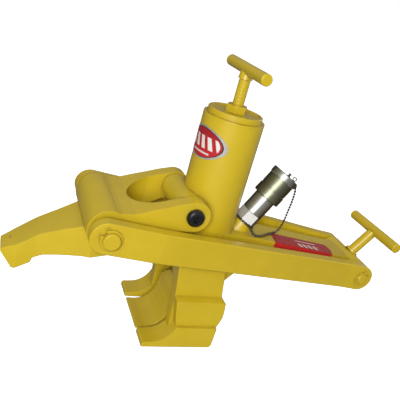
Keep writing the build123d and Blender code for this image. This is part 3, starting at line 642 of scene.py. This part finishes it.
def chain_loop(beads=23, along=11.5, radius=14.4):
    """Closed loop of beads round the coupler; along and radius in mm."""
    bm = bmesh.new()
    run = [
        on_coupler(along, radius * math.cos(angle), radius * math.sin(angle))
        for angle in angles_round(beads)
    ]
    add_beads(bm, run, closed=True)
    loop = mesh_object("chain_loop", bm, MATERIALS["chain_steel"])
    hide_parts("chain_ring")
    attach(loop, "cylinder")


def spring_coil():
    """Return spring. The real one shortens as the ram goes down; this coil keeps its length."""
    points = []
    for k in range(SPRING_STEPS + 1):
        angle = k * math.tau * SPRING_TURNS / SPRING_STEPS
        z = SPRING_FOOT_Z + SPRING_WIRE + SPRING_RISE * k / SPRING_STEPS
        points.append(Vector((SPRING_RADIUS * math.cos(angle), SPRING_RADIUS * math.sin(angle), z)))
    bm = bmesh.new()
    tube_along(bm, points, SPRING_WIRE, sides=12)
    coil = mesh_object("spring_coil", bm, MATERIALS["spring_steel"])
    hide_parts("return_spring")
    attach(coil, "cylinder")
    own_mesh(coil)


def cap_rivet():
    """Rivet near the middle of the dust cap, and an oval eye nearer its edge."""
    bm = bmesh.new()
    lathe(bm, on_coupler(92.4, 4.0), COUPLER_AXIS, RIVET_PROFILE, sides=20)
    eye = [
        on_coupler(along=95.2 + 2.3 * math.cos(angle), across=14.6 + 2.9 * math.sin(angle))
        for angle in angles_round(14)
    ]
    tube_along(bm, eye, radius=0.00075, sides=8, closed=True)
    rivet = mesh_object("cap_rivet", bm, MATERIALS["chain_steel"])
    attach(rivet, "cap")


chain_beads()
chain_loop()
spring_coil()
cap_rivet()

# ---------------------------------------------------------------- floor, light, camera


def stage_paper():
    """Pale paper, bright to the camera but giving the object only a dull bounce."""
    s = Surface("stage_paper")
    cloud = s.grain(scale=3.0)
    s.set("Base Color", s.mix(cloud, rgb(0.90, 0.90, 0.90), rgb(0.93, 0.93, 0.93)))
    s.set("Roughness", 0.9)
    s.set("Emission Color", rgb(1.0, 1.0, 1.0))
    s.set("Emission Strength", 0.80)
    dull = s.node("ShaderNodeBsdfDiffuse")
    dull.inputs[0].default_value = rgb(0.30, 0.29, 0.27)
    s.link(s.by_ray(seen=s.shader, unseen=dull), s.out.inputs[0])
    return s.material


def stage_floor():
    bm = bmesh.new()
    ring = [
        bm.verts.new((FLOOR_RADIUS * math.cos(angle), FLOOR_RADIUS * math.sin(angle), FLOOR_Z))
        for angle in angles_round(FLOOR_SIDES)
    ]
    middle = bm.verts.new((0.0, 0.0, FLOOR_Z))
    for a, b in neighbours(ring, closed=True):
        bm.faces.new((middle, a, b))
    mesh_object("stage_floor", bm, stage_paper())


def area_light(name, place, size, power, target=(0.0, 0.0, 0.15)):
    data = bpy.data.lights.new(name, "AREA")
    data.shape = "RECTANGLE"
    data.size, data.size_y = size
    data.energy = power
    light = bpy.data.objects.new(name, data)
    bpy.context.scene.collection.objects.link(light)
    light.location = place
    light.rotation_mode = "QUATERNION"
    light.rotation_quaternion = (Vector(target) - Vector(place)).to_track_quat("-Z", "Y")


def studio_world():
    """White to the camera; a dim warm fill, stronger from above, to everything else."""
    world = bpy.data.worlds.new("studio")
    bpy.context.scene.world = world
    g = Graph(world)
    out = g.node("ShaderNodeOutputWorld")
    seen = g.node("ShaderNodeBackground")
    seen.inputs["Color"].default_value = rgb(1, 1, 1)
    seen.inputs["Strength"].default_value = 1.0
    fill = g.node("ShaderNodeBackground")
    fill.inputs["Color"].default_value = rgb(1.0, 0.98, 0.95)
    split = g.node("ShaderNodeSeparateXYZ")
    g.link(g.node("ShaderNodeTexCoord").outputs["Generated"], split.inputs[0])
    strength = g.ramp(split.outputs["Z"], span=(-0.1, 0.9), to=(0.14, 0.42))
    g.link(strength, fill.inputs["Strength"])
    g.link(g.by_ray(seen=seen, unseen=fill), out.inputs[0])


def studio_camera():
    data = bpy.data.cameras.new("camera")
    data.sensor_width = 36.0
    data.lens = 49.4991
    data.clip_start = 0.02
    data.clip_end = 50.0
    camera = bpy.data.objects.new("camera", data)
    bpy.context.scene.collection.objects.link(camera)
    right = (0.92019, -0.29695, 0.25509)
    up = (-0.11316, 0.42203, 0.89949)
    back = (-0.37476, -0.85657, 0.35474)
    place = (-0.2709, -0.58863, 0.41636)
    rows = Matrix(((*right, 0), (*up, 0), (*back, 0), (*place, 1)))
    camera.matrix_world = rows.transposed()
    bpy.context.scene.camera = camera


stage_floor()
area_light("key_front", place=(-0.72, -1.32, 0.72), size=(0.6, 0.8), power=24.0)
area_light("fill_right", place=(1.7, -0.7, 0.8), size=(0.7, 0.9), power=2.5)
area_light("top_soft", place=(0.1, 0.3, 2.1), size=(1.6, 1.6), power=4.0)
area_light("fill_back", place=(1.75, 0.70, 0.55), size=(0.9, 0.9), power=6.5)
studio_world()
studio_camera()
bpy.context.scene.view_settings.view_transform = "Standard"
bpy.context.scene.view_settings.look = "None"
